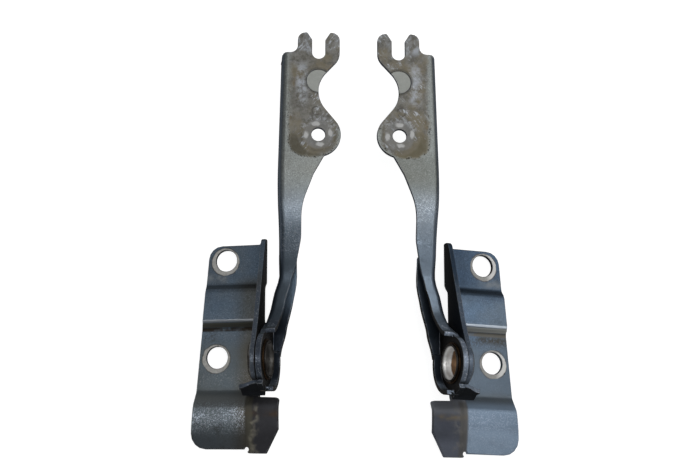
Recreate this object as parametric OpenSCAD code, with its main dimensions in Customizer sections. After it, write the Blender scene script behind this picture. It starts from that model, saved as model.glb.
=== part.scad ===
// A handed pair of bonnet hinges, lying side by side in the bonnet-closed pose.
// The mirror plane is X = 0, +Y runs forward along the car and +Z is up.
// The bracket frame of the right hinge has its origin at the pivot:
// u runs outwards along the pivot axis, v forward along the pads and w up from the pads.

/* [Stance] */
// Distance from the mirror plane to each pivot centre
pivot_offset = 64.8; // [64:0.2:80]
// Lean of each bracket outwards about its long direction, in degrees
bracket_roll = 14; // [10:1:16]
// Turn of each bracket towards the mirror plane, in degrees
bracket_yaw = -0.5; // [-2:0.5:2]

/* [Bracket] */
// Thickness of the bracket's sheet
bracket_sheet = 3.2; // [2.6:0.1:3.6]
// Inner radius of the bracket's bends
bracket_bend = 2.5; // [1.5:0.5:3.5]
// Width of the pads at their rear edge, from the flange's inner face
pad_width = 52; // [48:0.5:60]
// Width of the pads at their forward edge, from the flange's inner face
pad_front_width = 41.5; // [40:0.5:50]
// Depth of the pads' upper face below the pivot centre
pad_depth = 22; // [21:0.5:26]
// Distance from the pivot to the forward edge of the pads
pad_front = 82; // [80:1:90]
// Distance from the pivot to the rear edge of the pads
pad_rear = 56.5; // [54:0.5:66]
// Radius of the pads' outer corners
pad_corner = 9.5; // [4:0.5:12]
// Height of the bridge between the two pads
bridge_rise = 5; // [4:0.5:7]
// Inset of the bridge's outer edge from the line of the pads' outer edge
bridge_inset = 1; // [0:0.5:2]
// Height of the hump behind the rear pad
hump_rise = 5; // [3:0.5:7]
// Distance from the pivot back to the front foot of the hump
hump_foot = 16.5; // [15:0.5:18]
// Diameter of the two body bolt holes
body_hole_d = 15; // [11:0.5:17]
// Distance from the flange's inner face to the front body bolt hole
front_hole_u = 29.6; // [22:0.2:31]
// Distance from the flange's inner face to the rear body bolt hole
rear_hole_u = 35; // [26:0.5:37]
// Distance from the pivot forward to the front body bolt hole
front_hole_v = 71.5; // [68:0.5:71.5]
// Distance from the pivot forward to the rear body bolt hole
rear_hole_v = 4.5; // [-2:0.5:10]
// Radius of the bracket's ear about the pivot
bracket_ear_r = 15.5; // [15:0.1:15.8]
// Height of the flange's front end above the pads
flange_front_rise = 8; // [6:0.5:12]
// Reach of the flange past the forward edge of the pads
flange_reach = 2.5; // [2:0.5:6]

/* [Flap] */
// Distance from the flange's inner face outwards to the flap's bend line
flap_bend_u = 13.5; // [11:0.5:15]
// Reach of the flap's inner edge past the flange's inner face
flap_reach = 6.5; // [4:0.5:10]
// Angle the flap is bent down from the hump, in degrees
flap_angle = 26; // [15:1:32]
// Distance from the pivot back to the flap's front edge
flap_front = 22; // [20:0.5:24]
// Length of the chamfer on the flap's rear corner, along the pads
flap_chamfer = 16; // [8:1:20]
// Reach of the flap's rear edge past the pads' rear edge
flap_tail = 2.5; // [1:0.5:5]
// Radius of the relief notch at the rear end of the flap's bend line
relief_r = 1.6; // [1:0.1:2.5]

/* [Arm] */
// Thickness of the arm's sheet
arm_sheet = 3; // [2.6:0.1:3.2]
// Outer radius of the bend along the arm's outer edge
arm_bend = 4.5; // [4:0.25:6]
// Height of the bonnet plate's upper face above the pivot centre
plate_rise = 5; // [3:0.5:8]
// Depth of the arm's outer flange along the bonnet plate
plate_flange = 13; // [10:0.5:16]
// Width of the strip beside the channel
strip_width = 9.5; // [9:0.5:11]
// Width of the rim along the channel's rear edge
rim_width = 12.2; // [10:0.2:13]
// Width of the rim round the ear
ear_rim_width = 8.5; // [7:0.5:10]
// Diameter of the bonnet bolt hole
bonnet_hole_d = 9.5; // [8.5:0.5:12]
// Distance from the mirror plane to the bonnet bolt hole and the fork slot
bonnet_bolt_x = 27.7; // [26:0.1:29]
// Distance from the pivot forward to the bonnet bolt hole
bonnet_hole_y = 153.5; // [150:0.5:157]
// Distance between the bonnet bolt hole and the end of the fork slot
bonnet_bolt_pitch = 60; // [57:0.5:62]
// Width of the fork slot
slot_width = 9.2; // [8.5:0.1:10]
// Width of each fork prong
prong_width = 10; // [8:0.5:11]
// Length of the prongs past the end of the fork slot
prong_length = 15; // [12:0.5:18]
// Radius of the lug around the bonnet bolt hole
lug_r = 15.4; // [13:0.2:17]
// Radius of the round cut between the lug and the fork
waist_r = 20.5; // [18:0.5:22]
// Radius of the shallow round recess between the lug and the fork
recess_r = 8.5; // [6:0.5:10]
// Depth of the shallow round recess
recess_depth = 0.6; // [0.3:0.1:1]

/* [Pivot] */
// Thickness of the arm's ear
ear_thick = 3.7; // [3.4:0.1:4.6]
// Radius of the arm's ear about the pivot
ear_r = 17.5; // [17:0.1:18]
// Outer radius of the rim around the ear
ear_rim_r = 20.6; // [20:0.1:21]
// Radius of the hollow rivet's through bore
rivet_bore_r = 9.8; // [8:0.1:9.9]
// Wall of the hollow rivet
rivet_wall = 1; // [0.9:0.1:1.2]
// Thickness of the rivet's two heads
rivet_head = 1.2; // [1:0.1:2]
// Growth of the rivet's bore from its middle to the mouth of each flared end
flare_rise = 1.5; // [0.8:0.1:1.8]
// Length of the flare at each end of the rivet's bore
flare_length = 2.8; // [2:0.1:3.4]
// Wall of the bushes' sleeves
bush_wall = 1.15; // [0.8:0.05:1.4]
// Thickness of the bushes' flanges
bush_flange = 1; // [0.9:0.1:1.6]
// Thickness of the backing washer
washer_thick = 0.8; // [0.6:0.1:1.6]
// Opening angle at which the stop tab meets the bracket, in degrees
open_angle = 44; // [36:1:45]
// Reach of the stop tab outwards past the bracket's inner face
tab_reach = 12.5; // [8:0.5:13]

/* [Clearances] */
// Radial running clearance of the rivet's shank in the bushes
running_gap = 0.05; // [0.02:0.01:0.1]
// Radial gap of a seated sleeve or shank in its own hole
seat_gap = 0.02; // [0.01:0.01:0.05]
// Side gap between faces that turn against each other
side_gap = 0.1; // [0.05:0.05:0.2]
// Radial gap between the stop tab and the bracket's ear
tab_gap = 1.2; // [0.8:0.1:1.4]

/* [Hidden] */
$fn = 64;
paint = "#5b6873";
bronze = "#8a5a2b";
steel = "#8d9094";

// Overlap that carries a cut or a joined piece past its neighbour's face
past = 0.4;
// Room beyond an outline, for stock that the outline trims
spare = 6;
// Steps in each rounded corner of a sheet's path
corner_steps = 4;

// Pivot stack along the pivot axis, from the bracket inwards
ear_outer = -bush_flange - side_gap;
ear_inner = ear_outer - ear_thick;
ear_middle = (ear_outer + ear_inner) / 2;
bush_end = ear_inner - bush_flange;
head_start = bush_end - side_gap;
rivet_inner_end = head_start - rivet_head;
washer_end = bracket_sheet + washer_thick;
rivet_outer_end = washer_end + rivet_head;

// Radii of the pivot stack
shank_r = rivet_bore_r + rivet_wall;
bush_bore_r = shank_r + running_gap;
sleeve_r = bush_bore_r + bush_wall;
ear_bore_r = sleeve_r + seat_gap;
seat_bore_r = shank_r + seat_gap;
bush_flange_r = sleeve_r + 1.4;
rivet_head_r = shank_r + 1.5;
washer_r = shank_r + 3.5;

// Stop tab and the bracket edge that stops it
tab_inner_r = bracket_ear_r + tab_gap;
tab_foot_inner = [-tab_inner_r - 2.8, -6.5];
tab_foot_outer = [-tab_inner_r - arm_sheet - 3.3, -5];
tab_lead = max([for (p = [tab_foot_inner, tab_foot_outer]) atan2(-p[1], -p[0])]);
stop_angle = open_angle + tab_lead + 0.6;
notch_level = -pad_depth + 1.7;

// Distance from the flange's inner face to the pads' outer edge
function pad_edge(v) = mix(pad_width, pad_front_width, (v + pad_rear) / (pad_front + pad_rear));

// Height of the pivot above the lowest edge of the pads, and its place along the pair
split_v = -hump_foot;
pivot_z = pad_edge(split_v) * sin(bracket_roll) + (pad_depth + bracket_sheet) * cos(bracket_roll);
slot_end_y = bonnet_hole_y + bonnet_bolt_pitch;
fork_tip_y = slot_end_y + prong_length;
pivot_y = (pad_rear + flap_tail - fork_tip_y) / 2;

// Vector helpers
function unit(a) = a / norm(a);
function flat(p) = [p[0], p[1]];
function mix(a, b, f) = a * (1 - f) + b * f;
function ease(f) = f * f * (3 - 2 * f);

// Points of one corner of a path of [x, y, r] corners, rounded to its radius
function corner(p, a, b, r) =
    let (da = unit(a - p), db = unit(b - p), half = acos(da * db) / 2)
    let (centre = p + unit(da + db) * r / sin(half), back = r / tan(half))
    let (s = p + da * back - centre, e = p + db * back - centre)
    let (turn = atan2(s[0] * e[1] - s[1] * e[0], s * e), start = atan2(s[1], s[0]))
    [for (k = [0:corner_steps]) centre + r * [cos(start + turn * k / corner_steps),
                                              sin(start + turn * k / corner_steps)]];
function open_path(c) = [for (i = [0:len(c) - 1])
    each (c[i][2] > 0 ? corner(flat(c[i]), flat(c[i - 1]), flat(c[i + 1]), c[i][2]) : [flat(c[i])])];
function closed_path(c) = let (n = len(c)) [for (i = [0:n - 1])
    each (c[i][2] > 0 ? corner(flat(c[i]), flat(c[(i + n - 1) % n]), flat(c[(i + 1) % n]), c[i][2])
                      : [flat(c[i])])];

// Unit direction along a list of points at one of them
function along(p, i) = unit(p[min(i + 1, len(p) - 1)] - p[max(i - 1, 0)]);

// Smooth curve through a list of points, with a number of steps between neighbours
function spline_point(a, b, c, d, f) =
    0.5 * (2 * b + (c - a) * f + (2 * a - 5 * b + 4 * c - d) * f * f + (3 * b - a - 3 * c + d) * f * f * f);
function spline(p, steps) = let (n = len(p) - 1) concat(
    [for (i = [0:n - 1]) for (k = [0:steps - 1])
        spline_point(p[max(i - 1, 0)], p[i], p[i + 1], p[min(i + 2, n)], k / steps)],
    [p[n]]);
function steps_between(v, steps) = concat(
    [for (i = [0:len(v) - 2]) for (k = [0:steps - 1]) mix(v[i], v[i + 1], k / steps)], [v[len(v) - 1]]);

// Solid between two skins, each a grid of rows of points, given in the order that faces them outwards
module sheet_solid(outer, inner) {
    rows = len(outer);
    cols = len(outer[0]);
    skin = rows * cols;
    function at(i, j) = i * cols + j;
    points = concat([for (r = outer) each r], [for (r = inner) each r]);
    faces = concat(
        [for (i = [0:rows - 2]) for (j = [0:cols - 2]) each [
            [at(i, j), at(i + 1, j), at(i + 1, j + 1)],
            [at(i, j), at(i + 1, j + 1), at(i, j + 1)],
            [skin + at(i, j), skin + at(i + 1, j + 1), skin + at(i + 1, j)],
            [skin + at(i, j), skin + at(i, j + 1), skin + at(i + 1, j + 1)]]],
        [for (i = [0:rows - 2]) each [
            [at(i + 1, 0), at(i, 0), skin + at(i, 0)],
            [at(i + 1, 0), skin + at(i, 0), skin + at(i + 1, 0)],
            [at(i, cols - 1), at(i + 1, cols - 1), skin + at(i + 1, cols - 1)],
            [at(i, cols - 1), skin + at(i + 1, cols - 1), skin + at(i, cols - 1)]]],
        [for (j = [0:cols - 2]) each [
            [at(0, j), at(0, j + 1), skin + at(0, j + 1)],
            [at(0, j), skin + at(0, j + 1), skin + at(0, j)],
            [at(rows - 1, j + 1), at(rows - 1, j), skin + at(rows - 1, j)],
            [at(rows - 1, j + 1), skin + at(rows - 1, j), skin + at(rows - 1, j + 1)]]]);
    polyhedron(points, faces, convexity = 6);
}

// Places of the bracket frame and the row frame
module at_pivot() translate([pivot_offset, pivot_y, pivot_z]) rotate([0, bracket_roll, bracket_yaw]) children();
module at_arm() translate([0, pivot_y, pivot_z]) children();
function from_bracket(p) =
    let (x = p[0] * cos(bracket_roll) + p[2] * sin(bracket_roll))
    let (z = p[2] * cos(bracket_roll) - p[0] * sin(bracket_roll))
    [pivot_offset + x * cos(bracket_yaw) - p[1] * sin(bracket_yaw),
     x * sin(bracket_yaw) + p[1] * cos(bracket_yaw), z];

// A flat shape drawn in v and w, carried along the pivot axis from one u to another
module across(from, to) translate([from, 0, 0]) rotate([90, 0, 90]) linear_extrude(to - from) children();
// A ring or a disc about the pivot axis
module pivot_cylinder(r, from, to) translate([from, 0, 0]) rotate([0, 90, 0]) cylinder(r = r, h = to - from);
module pivot_cone(r, r_end, from, to)
    translate([from, 0, 0]) rotate([0, 90, 0]) cylinder(r1 = r, r2 = r_end, h = to - from);
module pivot_ring(r, bore, from, to) difference() {
    pivot_cylinder(r, from, to);
    pivot_cylinder(bore, from - past, to + past);
}

// Side profile of the pads' upper face as [v, w, r] corners, split at the flap's front edge
bridge_front = 54.5;
bridge_rear = 25.2;
bridge_run = [4.2, 2];
hump_front = hump_foot + 11;
hump_back = 40;
pads_profile = open_path([
    [pad_front + flange_reach + spare, -pad_depth, 0],
    [bridge_front, -pad_depth, 3],
    [bridge_front - bridge_run[0], -pad_depth + bridge_rise, 4.5],
    [bridge_rear + bridge_run[1], -pad_depth + bridge_rise, 4],
    [bridge_rear, -pad_depth, 3],
    [split_v, -pad_depth, 0]]);
hump_profile = open_path([
    [split_v, -pad_depth, 0],
    [split_v - 2, -pad_depth, 5],
    [-hump_front, -pad_depth + hump_rise, 9],
    [-hump_back, -pad_depth + hump_rise, 65],
    [-pad_rear - flap_tail - spare, -pad_depth - 1, 0]]);
function path_normal(p, i) = let (d = along(p, i)) [d[1], -d[0]];
function in_section(u, q) = [u, q[0], q[1]];

// Section rows of the pads with the upright flange, and of the hump with the flap
bend_angles = [for (k = [0:corner_steps]) 90 * k / corner_steps];
flange_top = bracket_ear_r + spare;
function flange_row(i, r, depth, u_face) =
    let (q = pads_profile[i], n = path_normal(pads_profile, i), c = bracket_sheet + bracket_bend)
    concat([in_section(pad_width + spare, q - n * depth)],
        [for (a = bend_angles) in_section(c - r * sin(a), q + n * bracket_bend - n * r * cos(a))],
        [in_section(u_face, [q[0], flange_top])]);
function flap_row(i, r, depth) =
    let (q = hump_profile[i] - path_normal(hump_profile, i) * depth)
    let (reach = (flap_bend_u + flap_reach) / cos(flap_angle) + spare)
    let (end = flap_bend_u - r * sin(flap_angle) - reach * cos(flap_angle))
    let (drop = r * (1 - cos(flap_angle)) + reach * sin(flap_angle))
    concat([in_section(pad_width + spare, q)],
        [for (a = bend_angles * flap_angle / 90) in_section(flap_bend_u - r * sin(a), q - [0, r * (1 - cos(a))])],
        [in_section(end, q - [0, drop])]);

// Outline of the flange and ear, seen along the pivot axis
module flange_outline() {
    front_w = -pad_depth + flange_front_rise;
    stop_r = -notch_level / sin(stop_angle);
    circle(bracket_ear_r);
    polygon(closed_path([
        [pad_front + flange_reach, -pad_depth - 3 * bracket_sheet, 0],
        [pad_front + flange_reach, front_w, 5],
        [bridge_rear + bridge_run[1], 0.3 * bracket_ear_r, 3],
        [0.6 * bracket_ear_r, 0.8 * bracket_ear_r, 0],
        [0, 0, 0],
        [-stop_r * cos(stop_angle), notch_level, 0],
        [split_v - spare, notch_level, 0],
        [split_v - spare, -pad_depth - 3 * bracket_sheet, 0]]));
}

// Outline of the pads, seen from above
module pads_outline() {
    tall = pad_depth + flange_top + 4 * spare;
    bridge_rear_top = bridge_rear + bridge_run[1];
    bridge_front_top = bridge_front - bridge_run[0];
    translate([0, 0, -pad_depth - 2 * spare]) linear_extrude(tall) polygon(closed_path([
        [pad_edge(split_v - spare), split_v - spare, 0],
        [pad_edge(bridge_rear), bridge_rear, 3],
        [pad_edge(bridge_rear_top) - bridge_inset, bridge_rear_top, 3],
        [pad_edge(bridge_front_top) - bridge_inset, bridge_front_top, 3],
        [pad_edge(bridge_front), bridge_front, 3],
        [pad_front_width, pad_front, pad_corner],
        [bracket_sheet + bracket_bend, pad_front, 1],
        [bracket_sheet + past, pad_front + flange_reach + spare, 0],
        [-spare, pad_front + flange_reach + spare, 0],
        [-spare, split_v - spare, 0]]));
}
module hump_outline() {
    tall = pad_depth + flange_top + 4 * spare;
    flap_rear = pad_rear + flap_tail;
    translate([0, 0, -pad_depth - 4 * spare]) linear_extrude(tall) difference() {
        polygon(closed_path([
            [pad_edge(split_v + spare), split_v + spare, 0],
            [bracket_sheet + bracket_bend, split_v + spare, 0],
            [bracket_sheet + bracket_bend, -flap_front, 0],
            [-flap_reach, -flap_front, 2],
            [-flap_reach, -flap_rear + flap_chamfer, 2],
            [flap_chamfer / 2 - flap_reach, -flap_rear, 1],
            [flap_bend_u - relief_r / 2, -flap_rear, 1],
            [flap_bend_u - relief_r / 2, -pad_rear, 0],
            [pad_width, -pad_rear, pad_corner]]));
        translate([flap_bend_u, -pad_rear]) circle(relief_r);
    }
}

module body_bracket() color(paint) at_pivot() difference() {
    union() {
        intersection() {
            sheet_solid(
                [for (i = [0:len(pads_profile) - 1]) flange_row(i, bracket_bend, 0, bracket_sheet)],
                [for (i = [0:len(pads_profile) - 1])
                    flange_row(i, bracket_bend + bracket_sheet, bracket_sheet, 0)]);
            pads_outline();
            across(-spare, pad_width + spare) flange_outline();
        }
        intersection() {
            sheet_solid(
                [for (i = [0:len(hump_profile) - 1]) flap_row(i, bracket_bend + bracket_sheet, 0)],
                [for (i = [0:len(hump_profile) - 1]) flap_row(i, bracket_bend, bracket_sheet)]);
            hump_outline();
        }
    }
    pivot_cylinder(seat_bore_r, -spare, bracket_sheet + spare);
    for (hole = [[rear_hole_u, rear_hole_v], [front_hole_u, front_hole_v]])
        translate([hole[0], hole[1], -pad_depth - 2 * spare]) cylinder(d = body_hole_d, h = 4 * spare);
}

// Stations of the arm from the fork to the ear: outer corner of the strip, outer corner of the
// rear edge, width of the strip's stock, and share of the twist into the bracket's lean
plate_width = pivot_offset;
plate_low = plate_rise - plate_flange;
arm_stations = [
    [[53, fork_tip_y + spare, plate_rise], [53, fork_tip_y + spare, plate_low + 1], plate_width, 0],
    [[54, 172, plate_rise], [54, 172, plate_low + 0.5], plate_width, 0],
    [[54.7, 130, plate_rise], [54.7, 130, plate_low], plate_width, 0],
    [[54.4, 110, plate_rise], [54.4, 110, plate_low], plate_width, 0],
    [[53.7, 98, plate_rise - 1.6], [53.7, 96.5, plate_low - 0.8], 24, 0],
    [[53.2, 84, plate_rise - 5], [53, 82, plate_low - 3.5], 16, 0.2],
    [[53.2, 70, plate_rise - 9], [52.7, 68, plate_low - 7], strip_width + 3.6, 0.5],
    [[53.3, 57, plate_rise - 13], [52.3, 55.5, plate_low - 10.3], strip_width - 0.3, 0.8],
    [from_bracket([ear_outer - 5, 46, -11]), from_bracket([ear_outer - 5, 44, -22]), strip_width, 1],
    [from_bracket([ear_outer - 2.7, 35.5, -10.5]), from_bracket([ear_outer - 2.7, 33, -21.8]), strip_width, 1],
    [from_bracket([ear_outer - 0.7, 27, -6.8]), from_bracket([ear_outer - 0.7, 23, -21.4]), strip_width, 1],
    [from_bracket([ear_outer - 0.2, 21.8, -1.5]), from_bracket([ear_outer - 0.2, 13, -21]), strip_width, 1],
    [from_bracket([ear_outer - 0.2, 20, 3]), from_bracket([ear_outer - 0.2, 4, -20.5]), strip_width, 1]];
arm_steps = 3;
strip_line = spline([for (s = arm_stations) s[0]], arm_steps);
rear_line = spline([for (s = arm_stations) s[1]], arm_steps);
stock_width = steps_between([for (s = arm_stations) s[2]], arm_steps);
twist = steps_between([for (s = arm_stations) s[3]], arm_steps);
function strip_across(i) =
    let (t = along(strip_line, i), a = bracket_roll * twist[i])
    let (d = [-cos(a), -sin(bracket_yaw) * twist[i], sin(a)])
    unit(d - t * (d * t));
function strip_normal(i) = cross(strip_across(i), along(strip_line, i));
function arm_row(i, r) =
    let (f = strip_across(i), n = strip_normal(i), p = strip_line[i], lift = r - arm_bend)
    let (centre = p + (f - n) * arm_bend)
    concat([p + f * stock_width[i] + n * lift],
        [for (a = bend_angles) centre + r * (n * cos(a) - f * sin(a))],
        [rear_line[i] - f * lift]);

// Rim along the rear edge of the channel, from the notch to the ear
rim_first = 6 * arm_steps - 1;
rim_narrow = 10 * arm_steps;
rim_last = len(rear_line) - 1;
function rim_row(i, lift) =
    let (f = strip_across(i), up = unit(strip_line[i] - rear_line[i]))
    let (w = mix(rim_width, ear_rim_width, ease(max(0, (i - rim_narrow) / (rim_last - rim_narrow)))))
    [rear_line[i] + f * w + up * lift, rear_line[i] + f * past + up * lift];

// Outline of the bonnet plate, seen from above
module plate_outline() {
    prong_out = slot_width / 2 + prong_width;
    mouth_run = 3.4;
    mouth = slot_width / 2 + mouth_run;
    tip_r = prong_width - mouth_run - 1;
    lug = [bonnet_bolt_x, bonnet_hole_y];
    waist = [bonnet_bolt_x - waist_r, slot_end_y - 28.4];
    // Where the fork's shoulder runs into the waist, and where the waist runs into the lug
    waist_top = [cos(42), sin(42)];
    shoulder_run = (waist[0] + waist_r * waist_top[0] - bonnet_bolt_x + prong_out) / waist_top[1];
    shoulder = waist + waist_r * waist_top + shoulder_run * [-waist_top[1], waist_top[0]];
    centres = lug - waist;
    low_angle = atan2(centres[1], centres[0]) + acos((waist_r + lug_r) / norm(centres));
    waist_low = [cos(low_angle), sin(low_angle)];
    difference() {
        union() {
            polygon(closed_path([
                [pivot_offset + 4 * spare, -3 * spare - ear_rim_r, 0],
                [pivot_offset + 4 * spare, slot_end_y - 3 * spare, 0],
                [53.3, slot_end_y - 5, 0],
                [53.3, slot_end_y, 3],
                [bonnet_bolt_x + prong_out, slot_end_y, 5],
                [bonnet_bolt_x + prong_out, fork_tip_y, tip_r - 0.3],
                [bonnet_bolt_x + mouth, fork_tip_y, 1.2],
                [bonnet_bolt_x + slot_width / 2, fork_tip_y - 5.5, 0],
                [bonnet_bolt_x - slot_width / 2, fork_tip_y - 5.5, 0],
                [bonnet_bolt_x - mouth, fork_tip_y, 1.2],
                [bonnet_bolt_x - prong_out, fork_tip_y, tip_r],
                concat(shoulder, [11]),
                concat(waist + waist_r * waist_top, [0]),
                concat(waist, [0]),
                concat(waist + waist_r * waist_low, [0]),
                concat(lug - lug_r * waist_low, [0]),
                concat(lug, [0]),
                [bonnet_bolt_x - 4.6, bonnet_hole_y - 14, 0],
                [bonnet_bolt_x + 2.8, 126, 8],
                [bonnet_bolt_x + 11, 104, 45],
                [38.4, 82, 30],
                [41, 67, 1],
                [20, 65, 0],
                [20, -3 * spare - ear_rim_r, 0]]));
            translate(lug) circle(lug_r);
        }
        translate(waist) circle(waist_r);
        translate([bonnet_bolt_x, bonnet_hole_y]) circle(d = bonnet_hole_d);
        translate([bonnet_bolt_x, slot_end_y]) circle(d = slot_width);
        translate([bonnet_bolt_x - slot_width / 2, slot_end_y]) square([slot_width, prong_length + spare]);
    }
}

// A sector of a ring about the pivot axis, between two angles from -v towards -w
module ring_sector(r, bore, first, last) intersection() {
    difference() {
        circle(r);
        circle(bore);
    }
    polygon(concat([[0, 0]], [for (k = [0:4])
        let (a = mix(first, last, k / 4)) 1.5 * r * [-cos(a), -sin(a)]]));
}

// Rows of the stop tab, a tongue that curls outwards from the ear and narrows towards its tip
tab_rows = [ear_outer - ear_thick / 2, 0, 0.25 * tab_reach, 0.5 * tab_reach, 0.75 * tab_reach, tab_reach];
function tab_row(u, deep, foot) =
    let (top = mix(34, 14, ease(max(0, u / tab_reach))), r = tab_inner_r + deep)
    concat([for (a = [top, top / 2, 0]) [u, -r * cos(a), r * sin(a)]], [in_section(u, foot)]);

// The arm's ear with its rim and stop tab, in the bracket frame
module arm_ear() {
    rim_bore_r = ear_rim_r - arm_sheet;
    across(ear_inner, ear_outer) {
        circle(ear_r);
        ring_sector(ear_rim_r - past / 2, ear_r - arm_sheet, -35, 110);
        polygon([[0, 0], [0, -ear_rim_r + past], [24, -ear_rim_r], [25.5, -10], [21.5, -3], [19.3, 2], [10, 12]]);
    }
    across(ear_outer - ear_rim_width, ear_outer - past) ring_sector(ear_rim_r, rim_bore_r, -7, 112);
    sheet_solid(
        [for (u = tab_rows) tab_row(u, arm_sheet, tab_foot_outer)],
        [for (u = tab_rows) tab_row(u, 0, tab_foot_inner)]);
}

module bonnet_arm() color(paint) difference() {
    union() {
        at_arm() intersection() {
            sheet_solid(
                [for (i = [0:len(strip_line) - 1]) arm_row(i, arm_bend - arm_sheet)],
                [for (i = [0:len(strip_line) - 1]) arm_row(i, arm_bend)]);
            translate([0, 0, -8 * spare]) linear_extrude(16 * spare) plate_outline();
        }
        at_arm() sheet_solid(
            [for (i = [rim_first:rim_last]) rim_row(i, -past / 2)],
            [for (i = [rim_first:rim_last]) rim_row(i, arm_sheet - past / 2)]);
        at_pivot() arm_ear();
    }
    at_pivot() pivot_cylinder(ear_bore_r, ear_inner - past, ear_outer + past);
    at_arm() translate([bonnet_bolt_x, slot_end_y - 21, plate_rise - recess_depth]) cylinder(r = recess_r, h = spare);
}

// Profile pieces of the pivot stack
module pivot_rivet() color(steel) at_pivot() difference() {
    union() {
        pivot_cylinder(shank_r, head_start, washer_end + past);
        pivot_cylinder(rivet_head_r, rivet_inner_end, head_start);
        pivot_cylinder(rivet_head_r, washer_end, rivet_outer_end);
    }
    pivot_cylinder(rivet_bore_r, rivet_inner_end - past, rivet_outer_end + past);
    pivot_cone(rivet_bore_r + flare_rise, rivet_bore_r, rivet_inner_end, rivet_inner_end + flare_length);
    pivot_cone(rivet_bore_r, rivet_bore_r + flare_rise, rivet_outer_end - flare_length, rivet_outer_end);
}
module inner_bush() color(bronze) at_pivot() {
    pivot_ring(sleeve_r, bush_bore_r, ear_inner - past, ear_middle - side_gap);
    pivot_ring(bush_flange_r, bush_bore_r, bush_end, ear_inner);
}
module outer_bush() color(bronze) at_pivot() {
    pivot_ring(sleeve_r, bush_bore_r, ear_middle + side_gap, ear_outer + past);
    pivot_ring(bush_flange_r, bush_bore_r, ear_outer, -side_gap);
}
module backing_washer() color(steel) at_pivot() pivot_ring(washer_r, seat_bore_r, bracket_sheet, washer_end);

module left() mirror([1, 0, 0]) children();

left() body_bracket();  // left_body_bracket
left() bonnet_arm();  // left_bonnet_arm
left() pivot_rivet();  // left_pivot_rivet
left() inner_bush();  // left_inner_bush
left() outer_bush();  // left_outer_bush
left() backing_washer();  // left_backing_washer
body_bracket();  // right_body_bracket
bonnet_arm();  // right_bonnet_arm
pivot_rivet();  // right_pivot_rivet
inner_bush();  // right_inner_bush
outer_bush();  // right_outer_bush
backing_washer();  // right_backing_washer
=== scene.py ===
"""A handed pair of bonnet hinges, dressed for a studio picture from above."""
import math

import bmesh
import bpy
from mathutils import Euler, Matrix, Vector


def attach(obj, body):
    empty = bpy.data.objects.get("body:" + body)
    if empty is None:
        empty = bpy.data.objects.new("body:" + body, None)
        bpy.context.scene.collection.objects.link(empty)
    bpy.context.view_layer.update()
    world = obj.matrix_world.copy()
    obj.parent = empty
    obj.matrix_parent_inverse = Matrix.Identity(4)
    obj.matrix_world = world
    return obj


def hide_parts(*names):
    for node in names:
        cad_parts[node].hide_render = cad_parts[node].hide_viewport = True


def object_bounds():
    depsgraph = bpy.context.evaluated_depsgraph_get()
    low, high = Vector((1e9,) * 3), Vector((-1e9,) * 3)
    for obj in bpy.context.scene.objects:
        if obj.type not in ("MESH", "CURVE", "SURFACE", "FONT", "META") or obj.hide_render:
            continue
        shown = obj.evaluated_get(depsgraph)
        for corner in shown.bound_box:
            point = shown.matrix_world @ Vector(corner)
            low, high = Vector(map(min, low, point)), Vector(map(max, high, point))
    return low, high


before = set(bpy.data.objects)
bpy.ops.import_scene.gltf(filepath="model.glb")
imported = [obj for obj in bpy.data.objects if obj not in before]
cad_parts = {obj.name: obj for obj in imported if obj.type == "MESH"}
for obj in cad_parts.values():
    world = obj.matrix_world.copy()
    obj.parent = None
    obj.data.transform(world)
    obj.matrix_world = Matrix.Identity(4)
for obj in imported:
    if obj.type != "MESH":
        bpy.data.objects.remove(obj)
cad_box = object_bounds()

RIGHT, LEFT = 1, -1
SIDE_NAMES = {RIGHT: "right", LEFT: "left"}
MM_PER_M = 1000

# Places on the right hinge, in millimetres. The pivot is in the row frame. Arm places are measured along that
# frame from the pivot's row and height, and bracket places from the pivot in the bracket's own leaning frame.
PIVOT = Vector((64.8, -84.75, 36.2978))
ARM_ORIGIN = Vector((0, PIVOT.y, PIVOT.z))
ARM_TURN = Euler((0, 0, 0))
BRACKET_TURN = Euler((0, math.radians(14), math.radians(-0.5)))
BOLT_X = 27.7
BOLT_HOLE_Y = 153.5
SLOT_END_Y = 213.5
RECESS_Y = SLOT_END_Y - 21
PRESS_MARK = (BOLT_X + 1.5, SLOT_END_Y - 43)
FRONT_HOLE = (29.6, 71.5)
REAR_HOLE = (35.0, 4.5)
WASHER_SHIFT = (0.5, -0.9)
PAD_LEVEL = -22.0

# Bands across the bracket, from rear to front: their ends along y, and half the width of their soft borders
HUMP_CREST = (-43, -29, 6.5)
HUMP_DULL = (-41, -27, 4)
FLAP_STREAK = (-34.5, -31.5, 2.2)
HUMP_FOOT = (-29, -21, 2)
HUMP_GROOVE = (-22.5, -16.5, 2.4)
REAR_PAD_FLAKE = (-13, -5, 5)
DUST_BAND = (15.5, 22, 3.5)
SPECKLE_BAND = (17.5, 22.5, 2.5)
BRIDGE_FOOT = (22.2, 24.9, 0.7)
BRIDGE_SLOPE = (24.8, 29.0, 0.6)
BRIDGE_BEND = (26.4, 31.0, 0.5)
BRIDGE_TOP = (31, 44, 3)
BRIDGE_FRONT = (46.5, 54, 3)
PAD_SMEAR = (56.5, 61.5, 2.5)

# Borders on the bracket: where a part of it begins along y, and where it is in full
REAR_END = (-40, -52)
BLOTCHED = (-30, -42)
HUMP_REAR = (-20, -28)
FLAP = (-19, -22)
CREASE = (-21, -24)
REAR_PAD = (20, 8)
FRONT_PAD = (50, 58)

# Bands and borders on the arm, likewise
CHANNEL_SHEEN = (36, 74, 12)
CROSS_BEND = (96, 110, 6)
LOW_PLATE = (116, 140, 6)
SWEPT_PART = (126, 98)
STRIP = {RIGHT: (96, 70), LEFT: (106, 82)}
CHANNEL = (78, 66)
WEB = (62, 46)
EAR = (30, 22)
TAB_BACK = (-11, -14)

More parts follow.
